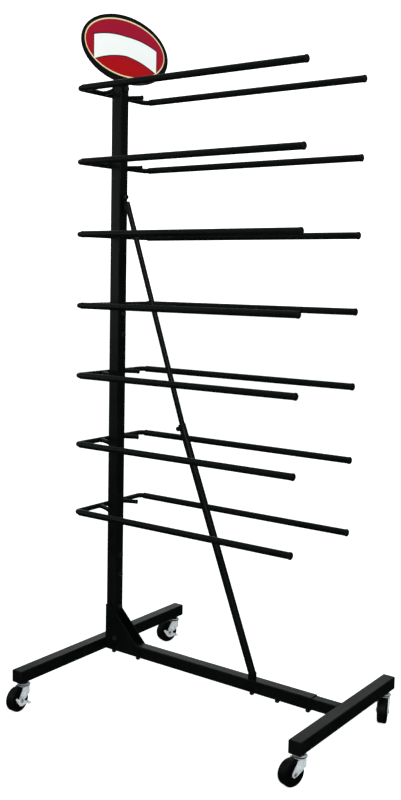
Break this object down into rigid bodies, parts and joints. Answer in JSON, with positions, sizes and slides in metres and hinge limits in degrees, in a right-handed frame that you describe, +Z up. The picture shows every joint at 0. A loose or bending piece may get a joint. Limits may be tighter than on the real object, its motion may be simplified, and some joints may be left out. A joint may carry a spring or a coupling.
{
  "type": "rolling display rack",
  "caption": "Tall black rack on four swivel castors: one square post with paired forward arms, splayed prongs, a diagonal brace and a blank oval sign on top.",
  "frame": {"origin": "on the floor, under the middle of the rack's outer box", "axes": "+X the way the arms point, +Y across the rack to the far side, +Z up"},
  "size_m": [0.8922, 0.8146, 1.977],
  "materials": {
    "black_frame": "satin",
    "black_fastener": "satin",
    "black_plastic": "satin",
    "zinc": "satin",
    "bright_steel": "satin",
    "wheel_rubber": "matte",
    "sign_panel": "gloss"
  },
  "bodies": {
    "rack": {"post_upper": "black_frame", "post_middle": "black_frame", "post_lower": "black_frame", "post_sleeve_upper": "black_frame", "post_sleeve_lower": "black_frame", "post_cap": "black_plastic", "foot_gussets": "black_frame", "base_beam": "black_frame", "base_stub": "black_frame", "rear_crossbar": "black_frame", "front_crossbar": "black_frame", "crossbar_end_caps": "black_plastic", "brace_upper": "black_frame", "brace_lower": "black_frame", "splice_bolts": "black_fastener", "base_bolts": "black_fastener", "brace_bolts": "black_fastener", "sign_board": "sign_panel", "sign_bracket": "black_frame", "sign_screws": "bright_steel", "tier_frame_1": "black_frame", "tier_frame_2": "black_frame", "tier_frame_3": "black_frame", "tier_frame_4": "black_frame", "tier_frame_5": "black_frame", "tier_frame_6": "black_frame", "tier_frame_7": "black_frame", "arm_near_1": "black_frame", "arm_near_2": "black_frame", "arm_near_3": "black_frame", "arm_near_4": "black_frame", "arm_near_5": "black_frame", "arm_near_6": "black_frame", "arm_near_7": "black_frame", "arm_far_1": "black_frame", "arm_far_2": "black_frame", "arm_far_3": "black_frame", "arm_far_4": "black_frame", "arm_far_5": "black_frame", "arm_far_6": "black_frame", "arm_far_7": "black_frame", "arm_end_caps": "black_plastic", "prong_caps": "black_plastic", "castor_stems": "zinc", "castor_bushes": "black_plastic"},
    "fork_rear_near": {"castor_fork_rear_near": "zinc", "castor_axle_rear_near": "bright_steel"},
    "wheel_rear_near": {"castor_wheel_rear_near": "wheel_rubber"},
    "fork_rear_far": {"castor_fork_rear_far": "zinc", "castor_axle_rear_far": "bright_steel"},
    "wheel_rear_far": {"castor_wheel_rear_far": "wheel_rubber"},
    "fork_front_near": {"castor_fork_front_near": "zinc", "castor_axle_front_near": "bright_steel"},
    "wheel_front_near": {"castor_wheel_front_near": "wheel_rubber"},
    "fork_front_far": {"castor_fork_front_far": "zinc", "castor_axle_front_far": "bright_steel"},
    "wheel_front_far": {"castor_wheel_front_far": "wheel_rubber"},
    "pedal_rear_near": {"brake_pedal_rear_near": "zinc"},
    "pedal_rear_far": {"brake_pedal_rear_far": "zinc"},
    "brace_screw": {"brace_knob": "black_plastic"}
  },
  "joints": [
    {"name": "swivel_rear_near", "type": "hinge", "parent": "rack", "child": "fork_rear_near", "pos_m": [-0.415, -0.3447, 0.066], "axis": [0, 0, 1], "continuous": true},
    {"name": "roll_rear_near", "type": "hinge", "parent": "fork_rear_near", "child": "wheel_rear_near", "pos_m": [-0.41451, -0.3727, 0.0345], "axis": [0.9998, 0.0175, 0], "continuous": true},
    {"name": "brake_rear_near", "type": "hinge", "parent": "fork_rear_near", "child": "pedal_rear_near", "pos_m": [-0.41451, -0.3727, 0.0345], "axis": [0.9998, 0.0175, 0], "range_deg": [-18, 0]},
    {"name": "swivel_rear_far", "type": "hinge", "parent": "rack", "child": "fork_rear_far", "pos_m": [-0.415, 0.3793, 0.066], "axis": [0, 0, 1], "continuous": true},
    {"name": "roll_rear_far", "type": "hinge", "parent": "fork_rear_far", "child": "wheel_rear_far", "pos_m": [-0.42412, 0.35283, 0.0345], "axis": [0.9455, -0.3256, 0], "continuous": true},
    {"name": "brake_rear_far", "type": "hinge", "parent": "fork_rear_far", "child": "pedal_rear_far", "pos_m": [-0.42412, 0.35283, 0.0345], "axis": [0.9455, -0.3256, 0], "range_deg": [-18, 0]},
    {"name": "swivel_front_near", "type": "hinge", "parent": "rack", "child": "fork_front_near", "pos_m": [0.415, -0.2227, 0.066], "axis": [0, 0, 1], "continuous": true},
    {"name": "roll_front_near", "type": "hinge", "parent": "fork_front_near", "child": "wheel_front_near", "pos_m": [0.40588, -0.24917, 0.0345], "axis": [0.9455, -0.3256, 0], "continuous": true},
    {"name": "swivel_front_far", "type": "hinge", "parent": "rack", "child": "fork_front_far", "pos_m": [0.415, 0.2573, 0.066], "axis": [0, 0, 1], "continuous": true},
    {"name": "roll_front_far", "type": "hinge", "parent": "fork_front_far", "child": "wheel_front_far", "pos_m": [0.42412, 0.23083, 0.0345], "axis": [0.9455, 0.3256, 0], "continuous": true},
    {"name": "brace_screw_turn", "type": "hinge", "parent": "rack", "child": "brace_screw", "pos_m": [-0.1315, 0.0063, 0.80215], "axis": [0, -1, 0], "range_deg": [0, 270]}
  ]
}
